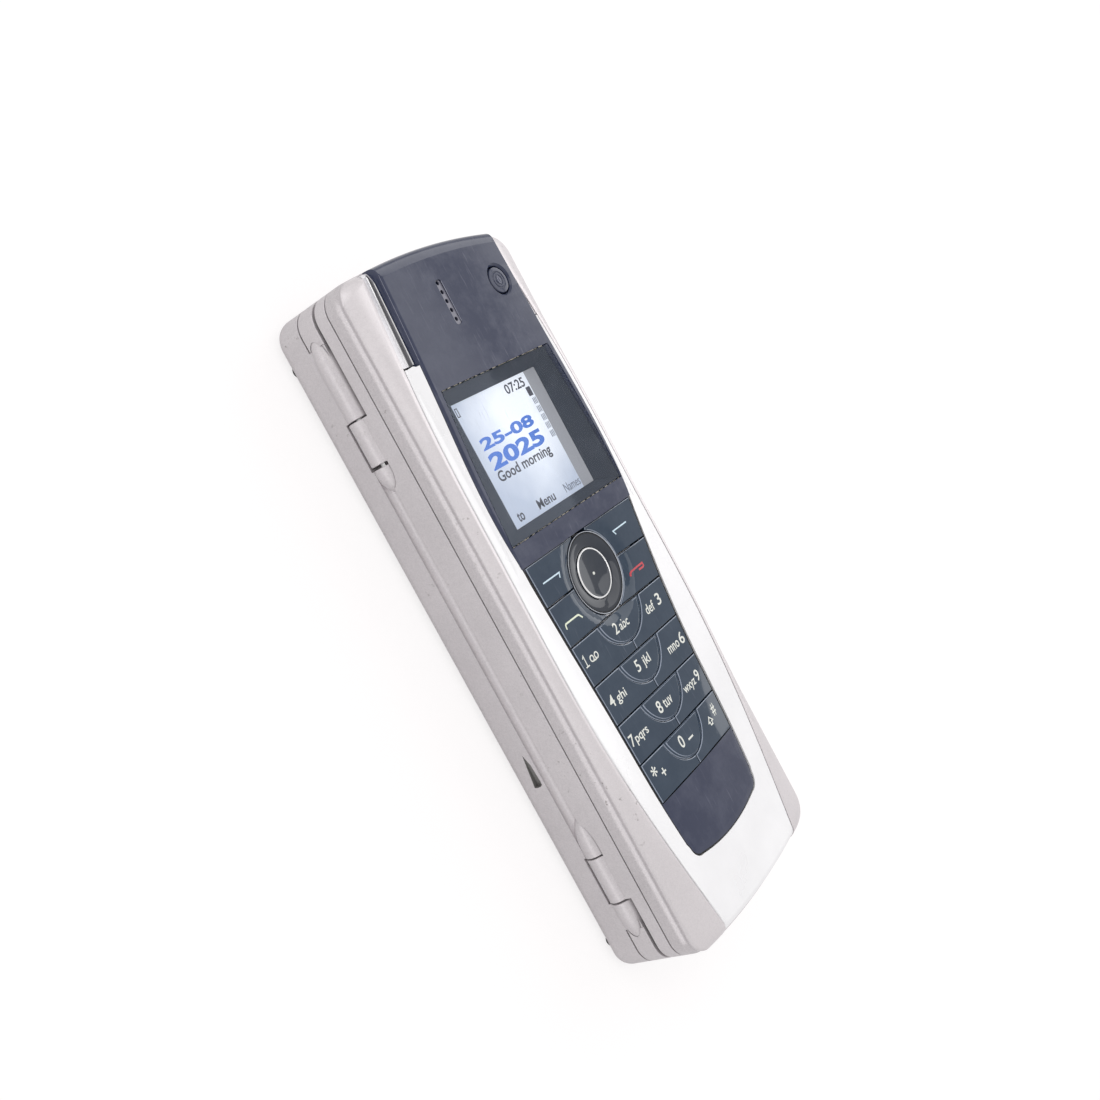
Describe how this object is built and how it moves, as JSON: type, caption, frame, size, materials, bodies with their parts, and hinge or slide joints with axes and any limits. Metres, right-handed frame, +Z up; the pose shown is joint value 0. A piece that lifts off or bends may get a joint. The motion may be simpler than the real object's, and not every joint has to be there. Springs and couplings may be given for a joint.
{
  "type": "communicator phone",
  "caption": "Long hinged handset: keypad and small display on the lid, full keyboard and wide display inside, sliding battery cover.",
  "frame": {"origin": "middle of the body at the level of the feet", "axes": "+Z up out of the lid's front, +Y towards the earpiece end, -X is the hinge side"},
  "size_m": [0.057, 0.148, 0.0249],
  "materials": {
    "silver_paint": "satin warm silver lacquer, worn and speckled",
    "silver_frame": "satin silver lacquer",
    "black_rubber": "matte",
    "board_green": "solder mask",
    "shield_steel": "plain stamped sheet",
    "battery_wrap": "matte",
    "module_black": "matte",
    "dark_window": "polished",
    "socket_black": "matte",
    "dome_foil": "satin foil",
    "screw_steel": "plain",
    "keyboard_caps": "satin dark grey",
    "mechanism_white": "moulded",
    "display_glass": "polished, dusty at the edges",
    "pale_bezel": "glossy near white",
    "channel_grey": "dull grey",
    "navy_gloss": "glossy navy",
    "button_metal": "metallised"
  },
  "bodies": {
    "base": {"base_shell": "silver_paint", "keyboard_frame": "silver_frame", "rubber_feet": "black_rubber", "main_board": "board_green", "shield_cans": "shield_steel", "battery": "battery_wrap", "sim_card_holder": "shield_steel", "camera_module": "module_black", "camera_window": "dark_window", "loudspeaker": "module_black", "charger_jack": "socket_black", "system_connector": "socket_black", "infrared_window": "dark_window", "keyboard_dome_sheet": "dome_foil", "base_screws": "screw_steel", "hinge_pins": "screw_steel"},
    "back_cover": {"battery_cover": "silver_paint"},
    "lid": {"lid_inner_frame": "silver_frame", "lid_screws": "screw_steel", "main_display_window": "display_glass", "main_display": "module_black", "lid_outer_shell": "silver_paint", "lid_board": "board_green", "keypad_dome_sheet": "dome_foil", "earpiece_speaker": "module_black", "cover_display": "module_black", "front_bezel": "pale_bezel", "front_channel": "channel_grey", "front_cover": "navy_gloss", "display_window": "display_glass"},
    "keyboard_row_1_caps": {"keyboard_row_1": "keyboard_caps"},
    "keyboard_row_2_caps": {"keyboard_row_2": "keyboard_caps"},
    "keyboard_row_3_caps": {"keyboard_row_3": "keyboard_caps"},
    "keyboard_row_4_caps": {"keyboard_row_4": "keyboard_caps"},
    "keyboard_row_5_caps": {"keyboard_row_5": "keyboard_caps"},
    "application_caps": {"application_keys": "keyboard_caps"},
    "joystick_tilt_x": {"joystick_actuator": "mechanism_white"},
    "joystick_top": {"joystick_cap": "keyboard_caps"},
    "command_caps": {"command_keys": "keyboard_caps"},
    "soft_key_left_cap": {"soft_key_left": "navy_gloss"},
    "soft_key_right_cap": {"soft_key_right": "navy_gloss"},
    "call_key_cap": {"call_key": "navy_gloss"},
    "end_key_cap": {"end_key": "navy_gloss"},
    "key_1_cap": {"key_1": "navy_gloss"},
    "key_2_cap": {"key_2": "navy_gloss"},
    "key_3_cap": {"key_3": "navy_gloss"},
    "key_4_cap": {"key_4": "navy_gloss"},
    "key_5_cap": {"key_5": "navy_gloss"},
    "key_6_cap": {"key_6": "navy_gloss"},
    "key_7_cap": {"key_7": "navy_gloss"},
    "key_8_cap": {"key_8": "navy_gloss"},
    "key_9_cap": {"key_9": "navy_gloss"},
    "key_star_cap": {"key_star": "navy_gloss"},
    "key_0_cap": {"key_0": "navy_gloss"},
    "key_hash_cap": {"key_hash": "navy_gloss"},
    "power_key_cap": {"power_key": "button_metal"},
    "nav_rocker": {"nav_actuator": "mechanism_white"},
    "nav_rim": {"nav_ring": "navy_gloss"},
    "nav_centre": {"nav_button": "button_metal"}
  },
  "joints": [
    {"name": "lid_hinge", "type": "hinge", "parent": "base", "child": "lid", "pos_m": [-0.0259, 0, 0.0098], "axis": [0, -1, 0], "range_deg": [0, 115]},
    {"name": "battery_cover_slide", "type": "slide", "parent": "base", "child": "back_cover", "axis": [0, -1, 0], "range_m": [0, 0.084]},
    {"name": "keyboard_row_1_press", "type": "slide", "parent": "base", "child": "keyboard_row_1_caps", "axis": [0, 0, -1], "range_m": [0, 0.00025], "stiffness_N_per_m": 3000},
    {"name": "keyboard_row_2_press", "type": "slide", "parent": "base", "child": "keyboard_row_2_caps", "axis": [0, 0, -1], "range_m": [0, 0.00025], "stiffness_N_per_m": 3000},
    {"name": "keyboard_row_3_press", "type": "slide", "parent": "base", "child": "keyboard_row_3_caps", "axis": [0, 0, -1], "range_m": [0, 0.00025], "stiffness_N_per_m": 3000},
    {"name": "keyboard_row_4_press", "type": "slide", "parent": "base", "child": "keyboard_row_4_caps", "axis": [0, 0, -1], "range_m": [0, 0.00025], "stiffness_N_per_m": 3000},
    {"name": "keyboard_row_5_press", "type": "slide", "parent": "base", "child": "keyboard_row_5_caps", "axis": [0, 0, -1], "range_m": [0, 0.00025], "stiffness_N_per_m": 3000},
    {"name": "application_keys_press", "type": "slide", "parent": "base", "child": "application_caps", "axis": [0, 0, -1], "range_m": [0, 0.00025], "stiffness_N_per_m": 3000},
    {"name": "joystick_along", "type": "hinge", "parent": "base", "child": "joystick_tilt_x", "pos_m": [0.0199, 0.054, 0.0103], "axis": [1, 0, 0], "range_deg": [-2, 2], "stiffness_Nm_per_rad": 0.05},
    {"name": "joystick_across", "type": "hinge", "parent": "joystick_tilt_x", "child": "joystick_top", "pos_m": [0.0199, 0.054, 0.0103], "axis": [0, 1, 0], "range_deg": [-2, 2], "stiffness_Nm_per_rad": 0.05},
    {"name": "command_keys_press", "type": "slide", "parent": "lid", "child": "command_caps", "axis": [0, 0, 1], "range_m": [0, 0.00025], "stiffness_N_per_m": 2000},
    {"name": "soft_key_left_press", "type": "slide", "parent": "lid", "child": "soft_key_left_cap", "axis": [0, 0, -1], "range_m": [0, 0.00025], "stiffness_N_per_m": 900},
    {"name": "soft_key_right_press", "type": "slide", "parent": "lid", "child": "soft_key_right_cap", "axis": [0, 0, -1], "range_m": [0, 0.00025], "stiffness_N_per_m": 900},
    {"name": "call_key_press", "type": "slide", "parent": "lid", "child": "call_key_cap", "axis": [0, 0, -1], "range_m": [0, 0.00025], "stiffness_N_per_m": 900},
    {"name": "end_key_press", "type": "slide", "parent": "lid", "child": "end_key_cap", "axis": [0, 0, -1], "range_m": [0, 0.00025], "stiffness_N_per_m": 900},
    {"name": "key_1_press", "type": "slide", "parent": "lid", "child": "key_1_cap", "axis": [0, 0, -1], "range_m": [0, 0.00025], "stiffness_N_per_m": 900},
    {"name": "key_2_press", "type": "slide", "parent": "lid", "child": "key_2_cap", "axis": [0, 0, -1], "range_m": [0, 0.00025], "stiffness_N_per_m": 900},
    {"name": "key_3_press", "type": "slide", "parent": "lid", "child": "key_3_cap", "axis": [0, 0, -1], "range_m": [0, 0.00025], "stiffness_N_per_m": 900},
    {"name": "key_4_press", "type": "slide", "parent": "lid", "child": "key_4_cap", "axis": [0, 0, -1], "range_m": [0, 0.00025], "stiffness_N_per_m": 900},
    {"name": "key_5_press", "type": "slide", "parent": "lid", "child": "key_5_cap", "axis": [0, 0, -1], "range_m": [0, 0.00025], "stiffness_N_per_m": 900},
    {"name": "key_6_press", "type": "slide", "parent": "lid", "child": "key_6_cap", "axis": [0, 0, -1], "range_m": [0, 0.00025], "stiffness_N_per_m": 900},
    {"name": "key_7_press", "type": "slide", "parent": "lid", "child": "key_7_cap", "axis": [0, 0, -1], "range_m": [0, 0.00025], "stiffness_N_per_m": 900},
    {"name": "key_8_press", "type": "slide", "parent": "lid", "child": "key_8_cap", "axis": [0, 0, -1], "range_m": [0, 0.00025], "stiffness_N_per_m": 900},
    {"name": "key_9_press", "type": "slide", "parent": "lid", "child": "key_9_cap", "axis": [0, 0, -1], "range_m": [0, 0.00025], "stiffness_N_per_m": 900},
    {"name": "key_star_press", "type": "slide", "parent": "lid", "child": "key_star_cap", "axis": [0, 0, -1], "range_m": [0, 0.00025], "stiffness_N_per_m": 900},
    {"name": "key_0_press", "type": "slide", "parent": "lid", "child": "key_0_cap", "axis": [0, 0, -1], "range_m": [0, 0.00025], "stiffness_N_per_m": 900},
    {"name": "key_hash_press", "type": "slide", "parent": "lid", "child": "key_hash_cap", "axis": [0, 0, -1], "range_m": [0, 0.00025], "stiffness_N_per_m": 900},
    {"name": "power_key_press", "type": "slide", "parent": "lid", "child": "power_key_cap", "axis": [0, 0, -1], "range_m": [0, 0.00025], "stiffness_N_per_m": 900},
    {"name": "nav_rocker_along", "type": "hinge", "parent": "lid", "child": "nav_rocker", "pos_m": [0.0005, 0.00065, 0.0207], "axis": [1, 0, 0], "range_deg": [-1.2, 1.2], "stiffness_Nm_per_rad": 0.06},
    {"name": "nav_rim_across", "type": "hinge", "parent": "nav_rocker", "child": "nav_rim", "pos_m": [0.0005, 0.00065, 0.0207], "axis": [0, 1, 0], "range_deg": [-1.2, 1.2], "stiffness_Nm_per_rad": 0.06},
    {"name": "nav_button_press", "type": "slide", "parent": "nav_rim", "child": "nav_centre", "axis": [0, 0, -1], "range_m": [0, 0.00025], "stiffness_N_per_m": 900}
  ]
}
